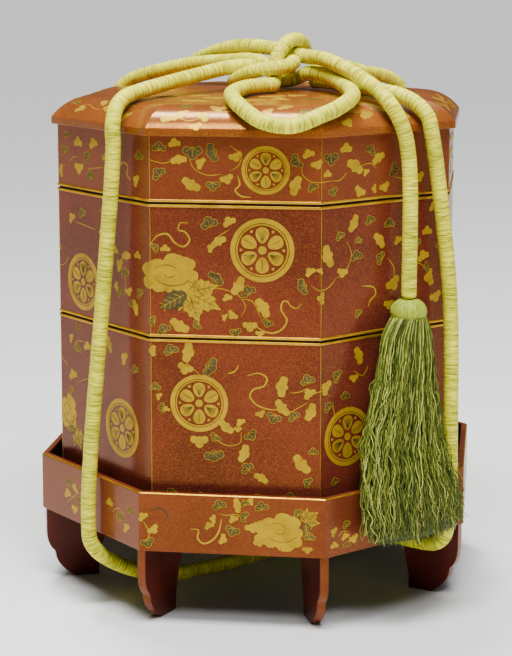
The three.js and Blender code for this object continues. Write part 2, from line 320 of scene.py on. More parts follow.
HEAD_SILK = tassel_silk("head_silk", [
    (0.0, (0.12, 0.16, 0.006)), (0.5, (0.34, 0.40, 0.025)), (1.0, (0.62, 0.65, 0.06)),
])


# Mesh helpers

def make_object(name, bm, materials, node=None, normals=False):
    """A piece of the model from a bmesh, in the place of a node of the frame if one is named."""
    mesh = bpy.data.meshes.new(name)
    bm.to_mesh(mesh)
    bm.free()
    for material in materials:
        mesh.materials.append(material)
    made = link_object(name, mesh)
    if normals:
        mesh.shade_smooth()
        mesh.set_sharp_from_angle(angle=math.radians(38))
        made.modifiers.new("flat_faces_stay_flat", "WEIGHTED_NORMAL").keep_sharp = True
    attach(made, "root")
    if node:
        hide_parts(node)
    return made


def angles(count):
    """A full turn in equal steps."""
    return [2 * math.pi * i / count for i in range(count)]


def skin(bm, rings, flip=False):
    """Smooth faces between rings of corners, as a list of (face, row, place in the ring)."""
    made = []
    for row, (first, second) in enumerate(zip(rings, rings[1:])):
        for i in range(len(first)):
            j = (i + 1) % len(first)
            if flip:
                face = bm.faces.new((first[i], second[i], second[j], first[j]))
            else:
                face = bm.faces.new((first[i], first[j], second[j], second[i]))
            face.smooth = True
            made.append((face, row, i))
    return made


def soften(points, radius, steps=3):
    """A profile with each inner corner turned into a short arc; points are (apothem, height, finish)."""
    soft = [points[0]]
    for before, at, after in zip(points, points[1:], points[2:]):
        here = Vector(at[:2])
        back = Vector(before[:2]) - here
        on = Vector(after[:2]) - here
        cut = min(radius, 0.45 * back.length, 0.45 * on.length)
        first = here + back.normalized() * cut
        last = here + on.normalized() * cut
        for step in range(steps + 1):
            share = step / steps
            point = first * (1 - share) ** 2 + here * 2 * share * (1 - share) + last * share ** 2
            soft.append((point.x, point.y, before[2] if share < 0.5 else at[2]))
    soft.append(points[-1])
    return soft


def octagon_ring(apothem, corner_steps=4):
    """Eight-sided outline with small round corners, anticlockwise."""
    radius = min(CORNER_RADIUS, apothem * 0.5)
    centre = (apothem - radius) * TO_CORNER
    ring = []
    for corner in range(SIDES):
        middle = (corner + 0.5) * SIDE_TURN
        for step in range(corner_steps + 1):
            angle = middle + (step / corner_steps - 0.5) * SIDE_TURN
            x = centre * math.cos(middle) + radius * math.cos(angle)
            y = centre * math.sin(middle) + radius * math.sin(angle)
            ring.append((x, y))
    return ring


def loft(name, profile, materials, node):
    """A turned eight-sided body from a profile that goes from the axis outside round to the axis."""
    bm = bmesh.new()
    rings = []
    for apothem, height, _ in profile:
        outline = [(0, 0)] if apothem < 1e-6 else octagon_ring(apothem)
        rings.append([bm.verts.new((*point, height)) for point in outline])
    for (_, _, finish), low, high in zip(profile, rings, rings[1:]):
        count = max(len(low), len(high))
        for i in range(count):
            j = (i + 1) % count
            corners = [low[i % len(low)], low[j % len(low)], high[j % len(high)], high[i % len(high)]]
            kept = [v for k, v in enumerate(corners) if v not in corners[:k]]
            if len(kept) > 2:
                bm.faces.new(kept).material_index = finish
    make_object(name, bm, materials, node, normals=True)


# Lid, tiers and stand, as profiles of (apothem, height, finish of what follows)

OUTSIDE, EDGE, INSIDE, ROOF = range(4)


def bead(seam, side):
    """Bead and dark groove beside a seam: side -1 goes up to the seam from below, 1 from it upward."""
    raised = BODY_APOTHEM + BEAD_RAISE
    sunk = BODY_APOTHEM - GROOVE_DEPTH
    points = [
        (BODY_APOTHEM, SEAM_BAND, EDGE),
        (raised, SEAM_GROOVE + BEAD_HEIGHT, EDGE),
        (raised, SEAM_GROOVE + BEAD_BEVEL, EDGE),
        (sunk, SEAM_GROOVE, INSIDE),
        (sunk, SEAT_GAP / 2, INSIDE),
    ]
    if side > 0:
        finishes = (INSIDE, INSIDE, EDGE, EDGE, OUTSIDE)
        points = [(*point[:2], finish) for point, finish in zip(reversed(points), finishes)]
    return [(apothem, seam + side * away, finish) for apothem, away, finish in points]


def tier(name, node, underside, seam, floor_top):
    lip = BODY_APOTHEM - LID_WALL - LIP_CLEARANCE
    inside = BODY_APOTHEM - TIER_WALL
    profile = underside + bead(seam, -1) + [
        (lip, seam - SEAT_GAP / 2, INSIDE),
        (lip, seam + LIP_HEIGHT, INSIDE),
        (inside, seam + LIP_HEIGHT, INSIDE),
        (inside, floor_top, INSIDE),
        (0, floor_top, INSIDE),
    ]
    loft(name, soften(profile, 0.5 * MM), [NASHIJI, BEAD_GOLD, BLACK], node)


def add_tiers():
    lower = [(0, LOWER_BOTTOM, INSIDE), (BODY_APOTHEM, LOWER_BOTTOM, OUTSIDE)]
    tier("lower_tier_body", "lower_tier", lower, LOWER_SEAM, LOWER_BOTTOM + FLOOR)
    recess = LOWER_SEAM + LIP_HEIGHT + LIP_CLEARANCE + SEAT_GAP
    upper = [
        (0, recess, INSIDE),
        (BODY_APOTHEM - LID_WALL, recess, INSIDE),
        (BODY_APOTHEM - LID_WALL, LOWER_SEAM + SEAT_GAP / 2, INSIDE),
    ]
    tier("upper_tier_body", "upper_tier", upper + bead(LOWER_SEAM, 1), UPPER_SEAM, recess + FLOOR)


def roof_point(length):
    """(apothem, height, slope) on the roof at a length up from the eave."""
    slope = STEEP - length / SHOULDER_RADIUS
    if slope >= FLAT:
        inward = SHOULDER_RADIUS * (math.sin(STEEP) - math.sin(slope))
        rise = SHOULDER_RADIUS * (math.cos(slope) - math.cos(STEEP))
        return EAVE_APOTHEM - inward, EAVE_TOP + rise, slope
    beyond = length - SHOULDER_RADIUS * (STEEP - FLAT)
    start = EAVE_APOTHEM - SHOULDER_RADIUS * (math.sin(STEEP) - math.sin(FLAT))
    share = (start - beyond) / start
    return start - beyond, CROWN - CROWN_RISE * share ** 2, 2 * CROWN_RISE / start * share


def add_lid():
    steps = 22
    bend = SHOULDER_RADIUS * (STEEP - FLAT)
    roof = [(*roof_point(bend * i / steps)[:2], ROOF) for i in range(steps + 1)]
    start = roof[-1][0]
    crown = [(start * k / 5, CROWN - CROWN_RISE * (k / 5) ** 2, ROOF) for k in range(4, -1, -1)]
    under = [(apothem, height - ROOF_THICKNESS, INSIDE) for apothem, height, _ in reversed(crown)]
    inside = BODY_APOTHEM - LID_WALL
    wall = [
        (inside, EAVE_UNDERSIDE + EAVE_HEIGHT / 2, INSIDE),
        (inside, UPPER_SEAM + SEAT_GAP / 2, INSIDE),
    ]
    eave = [(BODY_APOTHEM, EAVE_UNDERSIDE, OUTSIDE), (EAVE_APOTHEM, EAVE_UNDERSIDE, ROOF)]
    body = soften(wall + bead(UPPER_SEAM, 1) + eave + roof[:2], 0.7 * MM)[:-1]
    inner = [(start, CROWN - CROWN_RISE - ROOF_THICKNESS, INSIDE), wall[0]]
    profile = body + roof[1:] + crown + under + inner
    loft("lid_body", profile, [GOLDEN_NASHIJI, BEAD_GOLD, BLACK, ROOF_NASHIJI], "lid")


def add_stand():
    inside = STAND_APOTHEM - RIM_WALL
    floor_top = STAND_UNDERSIDE + FLOOR
    profile = [
        (0, STAND_UNDERSIDE, INSIDE),
        (STAND_APOTHEM, STAND_UNDERSIDE, OUTSIDE),
        (STAND_APOTHEM, RIM_TOP - RIM_EDGE, EDGE),
        (STAND_APOTHEM - RIM_EDGE, RIM_TOP, OUTSIDE),
        (inside + RIM_EDGE, RIM_TOP, INSIDE),
        (inside, RIM_TOP - RIM_EDGE, INSIDE),
        (inside, floor_top, INSIDE),
        (0, floor_top, INSIDE),
    ]
    finishes = [GOLDEN_NASHIJI, BEAD_GOLD, BLACK]
    loft("stand_tray_body", soften(profile, 0.6 * MM), finishes, "stand_tray")


# Legs: scrolled plates in the radial planes of the corners

def bend_points(start, control, end, steps=8):
    """Points after the start of an arc that is pulled towards its control."""
    points = []
    for i in range(1, steps + 1):
        t = i / steps
        weights = ((1 - t) ** 2, 2 * t * (1 - t), t ** 2)
        points.append(tuple(sum(w * c for w, c in zip(weights, axis)) for axis in zip(start, control, end)))
    return points


def leg_outline():
    """(distance from the axis, height) round a leg, in millimetres, and the count of inner points."""
    out = STAND_APOTHEM * TO_CORNER / MM - 3
    height = LEG_HEIGHT / MM
    cusp = out - 8.5
    toe = out - 27
    heel = toe - 24
    back = out - 75
    inner = [(back, height)]
    inner += bend_points(inner[-1], (heel - 6, height * 0.66), (heel - 3, 27))
    inner += bend_points(inner[-1], (heel, 14.4), (heel, 9))
    inner += [(heel, 0.0), (toe, 0.0)]
    outer = bend_points(inner[-1], (cusp, 12.6), (cusp, 24))
    outer += [(cusp + 1, 27)]
    outer += bend_points(outer[-1], (out, 33), (out, height - 22))
    outer += [(out, height)]
    return inner + outer, len(inner)


def add_legs():
    outline, inner_count = leg_outline()
    for corner in range(SIDES):
        bm = bmesh.new()
        turn = Matrix.Rotation((corner + 0.5) * SIDE_TURN, 4, "Z")
        near, far = [
            [bm.verts.new(turn @ Vector((r * MM, side * LEG_THICKNESS / 2, z * MM))) for r, z in outline]
            for side in (-1, 1)
        ]
        flat = [bm.faces.new(near), bm.faces.new(list(reversed(far)))]
        count = len(outline)
        for i in range(count):
            j = (i + 1) % count
            face = bm.faces.new((near[j], near[i], far[i], far[j]))
            face.material_index = int(inner_count - 1 <= i < count - 1)
        bmesh.ops.recalc_face_normals(bm, faces=bm.faces)
        rim = [edge for face in flat for edge in face.edges]
        bmesh.ops.bevel(
            bm, geom=rim, offset=LEG_BEVEL, segments=2, profile=0.6, affect="EDGES", clamp_overlap=True,
        )
        name = f"leg_{corner + 1}"
        make_object(name + "_plate", bm, [LEG_LACQUER, GOLDEN_NASHIJI], name, normals=True)


# The cord: points of its centre line in millimetres, chosen one by one

FIRST_WRAP = [
    (-4, -12, 496.5), (-22, -26, 496.5), (-58, -68, 489), (-92, -118, 480), (-105, -147, 475),
    (-109.5, -164, 466.5), (-111, -172, 452), (-111, -171, 430), (-123, -164, 300), (-137, -162.5, 150),
    (-140, -162.5, 86), (-138, -161, 62), (-124, -147, 42), (-84, -109, 17.5), (0, -15, 9.5),
    (85, 92, 18.5), (115, 126, 32), (136, 148, 48), (145, 158, 74), (145, 157.5, 110), (139, 155, 250),
    (131, 150.5, 425), (130, 150.5, 450), (127, 147.5, 465), (118, 138, 475.5), (91, 92, 485.5),
    (72, 56, 493), (56, 34, 493), (42, 20, 487.5), (28, 11, 482), (12, 2, 481.5),
]
SECOND_WRAP = [
    (48, 3, 481.5), (66, -6, 481.3), (97, -46, 480.2), (121, -90, 479), (139, -104, 476.8),
    (155, -110, 469.5), (166, -113.5, 458), (169.5, -114, 445), (176, -107, 400), (188, -99, 290),
    (190.5, -107, 170), (190, -112, 86), (186.4, -109.9, 66.5), (179.4, -105.7, 58.4),
    (169, -99.6, 55.7), (139, -82, 55.5), (40, -24, 58.5), (-80, 48, 57), (-132, 82, 55.5),
    (-164.7, 105.3, 55.7), (-173.5, 111.5, 58.4), (-180, 116.2, 66.5), (-184, 119, 86),
    (-180, 117, 170), (-172, 114, 350), (-169, 112.5, 448), (-163, 109.5, 464), (-151, 105, 474.5),
    (-133, 98, 481), (-82, 75, 493), (-36, 48, 498), (-18, 29, 500), (-5, 13, 499.5), (5, 2, 496.5),
    (10, -3, 495.5),
]
FRONT_LOOP = [
    (41, 30, 500), (40, 23, 511), (37, 12, 519), (32, 0, 521.5), (25, -11, 518), (19, -17.5, 509),
    (16, -22, 497.5), (15.5, -30, 487), (17, -44, 481.2), (15, -58, 481), (8, -66, 481),
    (1, -77, 480.9), (-5, -97, 480.5), (-8, -134, 479.4), (-7, -152, 478.4), (-3, -168, 476),
    (4, -181, 471.5), (26, -196.5, 459), (52, -198, 455.5), (78, -186.5, 464.5), (89, -175, 469),
    (97, -159, 474), (100, -142, 476.8), (94, -100, 480.5), (74, -48, 487.5), (61, -28, 490),
    (50, -17, 490), (41, -10, 488),
]
TWO_ENDS = [
    (152, -136, 295), (152, -134, 395), (150, -133, 425), (147, -135.5, 443), (141, -138.5, 459),
    (133, -136, 471), (122, -124, 481.5), (86, -72, 499), (63, -36, 505), (40, -3, 506), (8, 27, 511.5),
    (-34, 66, 511.5), (-80, 112.5, 496.4), (-105, 143, 480.5), (-113, 154, 471.5), (-118.5, 161.5, 461),
    (-120, 163, 448), (-122, 165, 395), (-122.5, 167.5, 306),
]
KNOT_BAND = [
    (-23, -26, 481.2), (-19, -38, 484.5), (-8, -46.5, 491), (8, -47.5, 495.5), (20, -43, 496.5),
    (30, -34, 498), (34, -24, 500.5), (31.5, -13.5, 500), (26, -4, 493),
]


def distances(path):
    """How far along a path each of its points is."""
    along = [0.0]
    for a, b in zip(path, path[1:]):
        along.append(along[-1] + (b - a).length)
    return along


def through(points, spacing, fine=24):
    """Evenly spaced points on the centripetal Catmull-Rom curve through points, and its length."""
    knots = [Vector(p) * MM for p in points]
    knots = [knots[0] * 2 - knots[1]] + knots + [knots[-1] * 2 - knots[-2]]
    dense = []
    for p0, p1, p2, p3 in zip(knots, knots[1:], knots[2:], knots[3:]):
        d0, d1, d2 = ((b - a).length ** 0.5 for a, b in ((p0, p1), (p1, p2), (p2, p3)))
        out = ((p1 - p0) / d0 - (p2 - p0) / (d0 + d1) + (p2 - p1) / d1) * d1
        into = ((p2 - p1) / d1 - (p3 - p1) / (d1 + d2) + (p3 - p2) / d2) * d1
        for i in range(fine):
            t = i / fine
            dense.append(
                p1 * (2 * t ** 3 - 3 * t ** 2 + 1) + out * (t ** 3 - 2 * t ** 2 + t)
                + p2 * (3 * t ** 2 - 2 * t ** 3) + into * (t ** 3 - t ** 2)
            )
    dense.append(knots[-2])
    lengths = distances(dense)
    total = lengths[-1]
    count = max(2, round(total / spacing))
    even = []
    at = 0
    for i in range(count + 1):
        want = total * i / count
        while at < len(lengths) - 2 and lengths[at + 1] < want:
            at += 1
        share = (want - lengths[at]) / (lengths[at + 1] - lengths[at])
        even.append(dense[at].lerp(dense[at + 1], share))
    return even, total


def carried_frames(path):
    """Side and up directions along a path that turn no more than the path does."""
    tangents = [(b - a).normalized() for a, b in zip(path, path[1:])]
    tangents.append(tangents[-1])
    side = tangents[0].orthogonal().normalized()
    frames = []
    for tangent in tangents:
        side = (side - tangent * side.dot(tangent)).normalized()
        frames.append((side, tangent.cross(side)))
    return frames


def tube(bm, path, radii, sides, shade=None):
    """A closed tube on a path; its map is (turn, length along), or (shade, share along)."""
    layer = bm.loops.layers.uv.verify()
    along = distances(path)
    rings = []
    for centre, (side, up), radius in zip(path, carried_frames(path), radii):
        spokes = [side * math.cos(angle) + up * math.sin(angle) for angle in angles(sides)]
        rings.append([bm.verts.new(centre + spoke * radius) for spoke in spokes])
    for face, row, i in skin(bm, rings):
        for loop, turn, at in zip(face.loops, (i, i + 1, i + 1, i), (row, row, row + 1, row + 1)):
            if shade is None:
                loop[layer].uv = (turn / sides, along[at])
            else:
                loop[layer].uv = (shade, along[at] / along[-1])
    bm.faces.new(list(reversed(rings[0])))
    bm.faces.new(rings[-1])


def silk_cord(name, points):
    """A cord wound with silk: its ribs are rings of slightly different radius."""
    rib = 0.65 * MM
    ridge = 0.13 * MM
    uneven = 0.1
    rounded = 5  # rings of each end that taper
    path, length = through(points, rib)
    radii = []
    for i in range(len(path)):
        radius = CORD_RADIUS + (ridge if i % 2 else -ridge) + random.uniform(-uneven, uneven) * MM
        inward = min(i, len(path) - 1 - i, rounded) / rounded
        radii.append(radius * math.sqrt(1 - (1 - inward) ** 2 * 0.7))
    bm = bmesh.new()
    tube(bm, path, radii, 14)
    made = make_object(name + "_silk", bm, [CORD_SILK], name)
    route = [tuple(point) for point in path[::8]] + [tuple(path[-1])]
    tuple(path[0])


def add_cords(tassel_heads):
    silk_cord("cord_first_wrap", FIRST_WRAP)
    silk_cord("cord_second_wrap", SECOND_WRAP)
    silk_cord("cord_front_loop", FRONT_LOOP)
    silk_cord("cord_two_ends", TWO_ENDS)
    silk_cord("cord_knot_band", KNOT_BAND)


# Tassels, in millimetres

TASSEL_LENGTH = 220
HEAD_HEIGHT = 17
FRINGE_LENGTH = TASSEL_LENGTH - HEAD_HEIGHT
HEAD_DROP = 0.4  # how far the head's top is below the cord's end
PLEATS = 26
THREADS = 620
CORD_SPACE = 7.9  # how near a thread may come to the middle of the cord beside it
CORE_SPACE = 6.6
UNDER_STAND = 80  # below this height a cord turns under the stand
# Radius of the head, and how far down from its top
HEAD_PROFILE = [
    (3.0, 0.0), (7.2, 0.0), (9.8, 0.9), (12.6, 2.7), (14.9, 5.2), (16.3, 8.2), (16.8, 11.2),
    (16.3, 13.8), (15.0, 15.6), (14.2, 16.2), (15.0, 16.8), (15.9, 17.6),
]
# Share of the fringe's length, half width along the wall, half depth, drift along and outward
FRINGE_STATIONS = [
    (0, 16.5, 15.5, 0, 0), (0.075, 26.5, 17, -2.5, 1), (0.26, 33.5, 18.5, -5.5, 3), (0.55, 48, 20, -12, 8),
    (0.7, 52, 20, -13.5, 16), (0.8, 57, 17, -12, 20.5), (1, 62, 15, -6, 21),
]
# Swing, least and most, and wave length, least and most, of a thread's slow bend and its crinkle
THREAD_WAVES = ((0.6, 2.0, 9, 26), (0.4, 1.0, 4.6, 7.5))


def fringe_section(share):
    """Half width, half depth and drifts of the fringe at a share of its length."""
    for low, high in zip(FRINGE_STATIONS, FRINGE_STATIONS[1:]):
        if share <= high[0]:
            t = (share - low[0]) / (high[0] - low[0])
            return [a + (b - a) * t for a, b in zip(low[1:], high[1:])]
    return list(FRINGE_STATIONS[-1][1:])


def beside(route, height):
    """Where a cord's centre line is at a height above its turn under the stand."""
    for a, b in zip(route, route[1:]):
        if min(a[2], b[2]) <= height <= max(a[2], b[2]) and a[2] > UNDER_STAND:
            t = (height - a[2]) / (b[2] - a[2])
            return Vector((a[0] + (b[0] - a[0]) * t, a[1] + (b[1] - a[1]) * t))
    return None


class Tassel:
    """A tassel on a cord's end: u runs along the wall beside it and v away from the box."""

    def __init__(self, name, end, facing, neighbour=()):
        self.name = name
        self.outward = Vector((math.cos(facing), math.sin(facing)))
        self.along = Vector((-self.outward.y, self.outward.x))
        self.centre = Vector(end[:2])
        self.top = end[2] - HEAD_DROP
        self.fringe_top = self.top - HEAD_HEIGHT
        self.neighbour = neighbour

    def place(self, u, v, z):
        flat = self.centre + self.along * u + self.outward * v
        return Vector((flat.x, flat.y, z)) * MM

    def clear_of_cord(self, u, v, height, radius):
        """The v of a thread, moved outward where it would lie in the cord beside it."""
        cord = beside(self.neighbour, height)
        if cord is None:
            return v
        off = cord - self.centre
        cord_v = off.dot(self.outward)
        gap = abs(u - off.dot(self.along))
        if gap >= radius or v < cord_v - radius:
            return v
        return max(v, cord_v + math.sqrt(radius ** 2 - gap ** 2))

    def add_head(self):
        """A domed, pleated head with a thread tied round its foot."""
        bm = bmesh.new()
        layer = bm.loops.layers.uv.verify()
        rings = []
        for radius, drop in HEAD_PROFILE:
            depth = 0.55 * math.sin(math.pi * min(1.0, drop / 15.5)) + 0.1
            ring = []
            for angle in angles(PLEATS * 4):
                r = radius - depth * (0.5 + 0.5 * math.cos(angle * PLEATS))
                at = self.place(r * math.cos(angle), r * math.sin(angle), self.top - drop)
                ring.append(bm.verts.new(at))
            rings.append(ring)
        for face, row, i in skin(bm, rings, flip=True):
            shade = 0.35 + 0.5 * (i * 7 % 13) / 13
            for loop in face.loops:
                loop[layer].uv = (shade, row / len(HEAD_PROFILE))
        bm.faces.new(rings[0])
        tied_at = self.fringe_top + 1.4
        tie = [self.place(15.6 * math.cos(a), 15.2 * math.sin(a), tied_at) for a in angles(40)]
        tie.append(tie[0])
        tube(bm, tie, [0.8 * MM] * len(tie), 6, shade=0.25)
        return make_object(self.name + "_silk_head", bm, [HEAD_SILK], self.name)

    def add_shade_core(self, bm, rows=12, around=20):
        """A body inside the fringe, so that nothing shows between the threads; its dark colour is painted
        shade of the fringe's inside.
        """
        layer = bm.loops.layers.uv.verify()
        rings = []
        for row in range(rows + 1):
            share = row / rows
            width, depth, sideways, out = fringe_section(share)
            ring = []
            for angle in angles(around):
                u = sideways + width * 0.80 * math.cos(angle)
                v = out + depth * 0.72 * math.sin(angle)
                v = self.clear_of_cord(u, v, self.fringe_top - share * FRINGE_LENGTH, CORE_SPACE)
                height = self.fringe_top - share * FRINGE_LENGTH * 0.965
                ring.append(bm.verts.new(self.place(u, v, height)))
            rings.append(ring)
        skin(bm, rings, flip=True)
        bm.faces.new(rings[0])
        bm.faces.new(list(reversed(rings[-1])))
        for face in bm.faces:
            face.smooth = True
            for loop in face.loops:
                # The core takes the dark end of the fringe's colours: painted shade of the fringe's inside.
                loop[layer].uv = (0.12, 0.5)

    def thread_path(self, rows=48):
        """One thread: where it hangs in the fringe, how far it strays and how it crinkles."""
        angle = random.uniform(0, 2 * math.pi)
        ring_share = math.sqrt(random.uniform(0.60, 1.0))
        stray = random.random() < 0.05
        end_angle = angle + random.gauss(0, 0.24)
        end_share = min(1.03, ring_share * random.uniform(0.88, 1.08))
        length_share = random.uniform(0.90, 1.0)
        waves = [
            (random.uniform(low, high), random.uniform(short, long), random.uniform(0, 6.3))
            for low, high, short, long in THREAD_WAVES * 2
        ]
        path = []
        for row in range(rows + 1):
            share = row / rows
            width, depth, sideways, out = fringe_section(share * length_share)
            turn = angle + (end_angle - angle) * share
            reach = ring_share + (end_share - ring_share) * share
            crinkle = min(1.0, share * 5) * (0.55 + 1.0 * share) * (1.7 if stray else 1.0)
            run = share * FRINGE_LENGTH
            swings = [a * math.sin(run / w * 2 + p) for a, w, p in waves]
            u = sideways + width * reach * math.cos(turn) + sum(swings[:2]) * crinkle
            v = out + depth * reach * math.sin(turn) + sum(swings[2:]) * crinkle * 0.7
            sag = 1 - 0.05 * (u - sideways) ** 2 / width ** 2 * share
            height = self.fringe_top + 1.5 - share * length_share * sag * (FRINGE_LENGTH + 1.5)
            v = self.clear_of_cord(u, v, height, CORD_SPACE)
            path.append(self.place(u, v, height))
        return path

    def add_threads(self):
        bm = bmesh.new()
        self.add_shade_core(bm)
        for _ in range(THREADS):
            path = self.thread_path()
            radius = random.uniform(0.28, 0.46) * MM
            tube(bm, path, [radius] * len(path), 3, shade=random.betavariate(1.3, 1.5))
        make_object(self.name + "_silk_threads", bm, [FRINGE_SILK], self.name)


def add_tassels():
    """Both tassels; gives their heads, which are the pieces on the cord's ends."""
    heads = []
    for tassel in (
        Tassel("tassel_front", TWO_ENDS[0], math.radians(-45), SECOND_WRAP),
        Tassel("tassel_back", TWO_ENDS[-1], math.radians(135)),
    ):
        heads.append(tassel.add_head())
        tassel.add_threads()
    return heads


# Pictures: thin raised shapes of gold and dark powder, drawn flat and laid on the walls and the roof.
# On a wall, across runs round the box from the middle of the front face and up is the height. On the
# roof, up is the way from the eave. All in millimetres.

LIFT = 0.16
LIFT_STEP = 0.003  # keeps shapes that cross from lying in one plane
LIFT_STEPS = 30
SINK = 0.12
ROOF_BAND = 1000  # each face of the roof has its own band of this width


def turned(outline, at, heading):
    c, s = math.cos(math.radians(heading)), math.sin(math.radians(heading))
    return [(at[0] + x * c - y * s, at[1] + x * s + y * c) for x, y in outline]


def ahead(at, distance, heading):
    return turned([(distance, 0)], at, heading)[0]


def scaled(outline, size):
    return [(x * size, y * size) for x, y in outline]


class Inlay:
    """Shapes of one colour for one piece. A shape is put at a place and turned by a heading."""

    def __init__(self):
        self.bm = bmesh.new()
        self.made = 0

    def lift(self, extra):
        self.made += 1
        return LIFT + extra + (self.made % LIFT_STEPS) * LIFT_STEP

    def patch(self, outline, at=(0, 0), heading=0, extra=0.0):
        """A flat patch with straight walls."""
        high = self.lift(extra)
        outline = turned(outline, at, heading)
        top, foot = [[self.bm.verts.new((x, y, z)) for x, y in outline] for z in (high, -SINK)]
        for a, b, c in geometry.tessellate_polygon([[Vector((x, y, 0)) for x, y in outline]]):
            if len({a, b, c}) == 3:
                self.bm.faces.new((top[a], top[b], top[c]))
                self.bm.faces.new((foot[c], foot[b], foot[a]))
        for i in range(len(outline)):
            j = (i + 1) % len(outline)
            self.bm.faces.new((foot[i], foot[j], top[j], top[i]))

    def strip(self, path, width, at=(0, 0), heading=0, closed=False, taper=False, extra=0.0):
        """A ribbon along a path, which may cross itself."""
        high = self.lift(extra)
        path = turned(path, at, heading)
        rows = []
        count = len(path)
        for i, here in enumerate(path):
            before = path[i - 1] if closed or i else here
            after = path[(i + 1) % count] if closed or i + 1 < count else here
            run = Vector((after[0] - before[0], after[1] - before[1])).normalized()
            half = width / 2
            if taper:
                half *= min(1.0, 0.35 + 3.0 * min(i, count - 1 - i) / count)
            aside = Vector((-run.y, run.x)) * half
            row = [(here[0] + aside.x, here[1] + aside.y), (here[0] - aside.x, here[1] - aside.y)]
            rows.append([self.bm.verts.new((*p, h)) for h in (high, -SINK) for p in row])
        after = rows[1:] + rows[:1] if closed else rows[1:]
        for low, far in zip(rows, after):
            for a, b in ((0, 1), (1, 3), (3, 2), (2, 0)):
                self.bm.faces.new((low[a], low[b], far[b], far[a]))
        if not closed:
            self.bm.faces.new([rows[0][k] for k in (0, 2, 3, 1)])
            self.bm.faces.new([rows[-1][k] for k in (0, 1, 3, 2)])

    def cut(self, axis, places, keep=0):
        """Cuts through an axis; keep 1 leaves only what is above a cut, -1 what is below."""
        normal = Vector([float(axis == k) for k in range(3)])
        for value in places:
            every = [*self.bm.verts, *self.bm.edges, *self.bm.faces]
            bmesh.ops.bisect_plane(
                self.bm, geom=every, dist=1e-4, plane_co=normal * value, plane_no=normal,
                clear_inner=keep > 0, clear_outer=keep < 0,
            )

    def lay(self, name, surface, material, slot):
        for vert in self.bm.verts:
            vert.co = surface(*vert.co)
        bmesh.ops.recalc_face_normals(self.bm, faces=self.bm.faces)
        make_object(name, self.bm, [material])


def on_face(across, pitch):
    """The way out of the face that holds a place, and the place's offset along it in metres."""
    face = round(across / pitch)
    angle = FRONT + face * SIDE_TURN
    out = Vector((math.cos(angle), math.sin(angle)))
    return out, Vector((-out.y, out.x)) * (across - face * pitch) * MM


def side_length(apothem):
    return 2 * apothem * math.tan(math.pi / SIDES) / MM


def wall_surface(apothem):
    """Lays across, up and lift on an eight-sided wall."""
    side = side_length(apothem)

    def surface(across, up, lift):
        out, aside = on_face(across, side)
        return (*(out * (apothem + lift * MM) + aside), up * MM)
    return surface


def roof_surface(across, up, lift):
    """Lays across, up from the eave and lift on the roof, one band to a face."""
    out, aside = on_face(across, ROOF_BAND)
    apothem, height, slope = roof_point(up * MM)
    flat = out * (apothem + lift * MM * math.sin(slope)) + aside
    return (*flat, height + lift * MM * math.cos(slope))


def flowing(points, step=1.6):
    """A smooth flat curve through points."""
    even, _ = through([(x, y, 0) for x, y in points], step * MM)
    return [(p.x / MM, p.y / MM) for p in even]


def circle(radius, count=60):
    return [(radius * math.cos(angle), radius * math.sin(angle)) for angle in angles(count)]


def lobed(lobes, core, scallops, count=48):
    """The outline round some discs that all reach the middle; lobes are (heading, distance, radius)."""
    points = []
    for angle in angles(count):
        reach = core
        for heading, distance, radius in lobes:
            aside = distance * math.sin(angle - math.radians(heading))
            forward = distance * math.cos(angle - math.radians(heading))
            if abs(aside) < radius and forward > 0:
                reach = max(reach, forward + math.sqrt(radius ** 2 - aside ** 2))
        reach *= 1 + scallops * abs(math.sin(7 * angle))
        points.append((reach * math.cos(angle), reach * math.sin(angle)))
    return points


# Outlines and veins of leaves for a size of 1. A fan leaf has three round lobes. A curled one is bent to
# one side, with three lobes on its back. A toothed one is broad and pointed, along +X.
FAN_LEAF = [(x, y - 0.02) for x, y in lobed(
    ((90, 0.27, 0.225), (8, 0.29, 0.205), (172, 0.29, 0.205)), 0.14, 0.09,
)]
FAN_VEINS = [
    ((0, -0.1), (0.36 * math.sin(a), 0.36 * math.cos(a))) for a in map(math.radians, (-78, 0, 78))
]
CURLED_LEAF = lobed(((0, 0.21, 0.26), (66, 0.34, 0.205), (-66, 0.34, 0.205)), 0.12, 0.06)
CURLED_VEINS = [
    ((0, 0), (0.36 * math.cos(a) - 0.1, 0.4 * math.sin(a))) for a in map(math.radians, (-60, -20, 20, 60))
]
HALF_LEAF = [
    (-0.5, 0.03), (-0.42, 0.17), (-0.30, 0.19), (-0.20, 0.32), (-0.08, 0.27), (0.04, 0.33), (0.12, 0.22),
    (0.26, 0.22), (0.32, 0.10), (0.56, 0.0),
]
TOOTHED_LEAF = HALF_LEAF + [(x, -y) for x, y in reversed(HALF_LEAF[:-1])]
# A full peony for a width and height of 2: round petals of uneven size
PETALS = [(40 * k + 9 * (k % 2), 0.64 + 0.05 * (k % 3), 0.27 + 0.045 * (k * 2 % 3)) for k in range(9)]
BLOOM = lobed(PETALS, 0.74, 0.03, 108)


def add_roundel(gold, dark, at, radius):
    """A ring with a plain rosette of six petals, every other one veined."""
    for share, width in ((0.925, 0.15), (0.80, 0.045)):
        gold.strip(circle(radius * share), radius * width, at, closed=True)
    petal = [
        (0.47 + 0.255 * math.cos(angle), (0.205 + 0.05 * math.cos(angle)) * math.sin(angle))
        for angle in angles(28)
    ]
    veins = [((0.27, 0), (0.27 + 0.36 * math.cos(a), 0.36 * math.sin(a)))
             for a in map(math.radians, range(-24, 25, 12))]
    for k in range(6):
        heading = 60 * k + 30
        gold.patch(scaled(petal, radius), at, heading)
        if k % 2:
            for vein in veins:
                dark.strip(scaled(vein, radius), 0.45, at, heading, extra=0.16)
        else:
            dark.strip([(radius * 0.3, 0), (radius * 0.66, 0)], 0.4, at, heading, extra=0.16)
    gold.patch(circle(radius * 0.13, 24), at)
    for k in range(6):
        gold.patch(circle(radius * 0.045, 12), ahead(at, radius * 0.67, 60 * k))


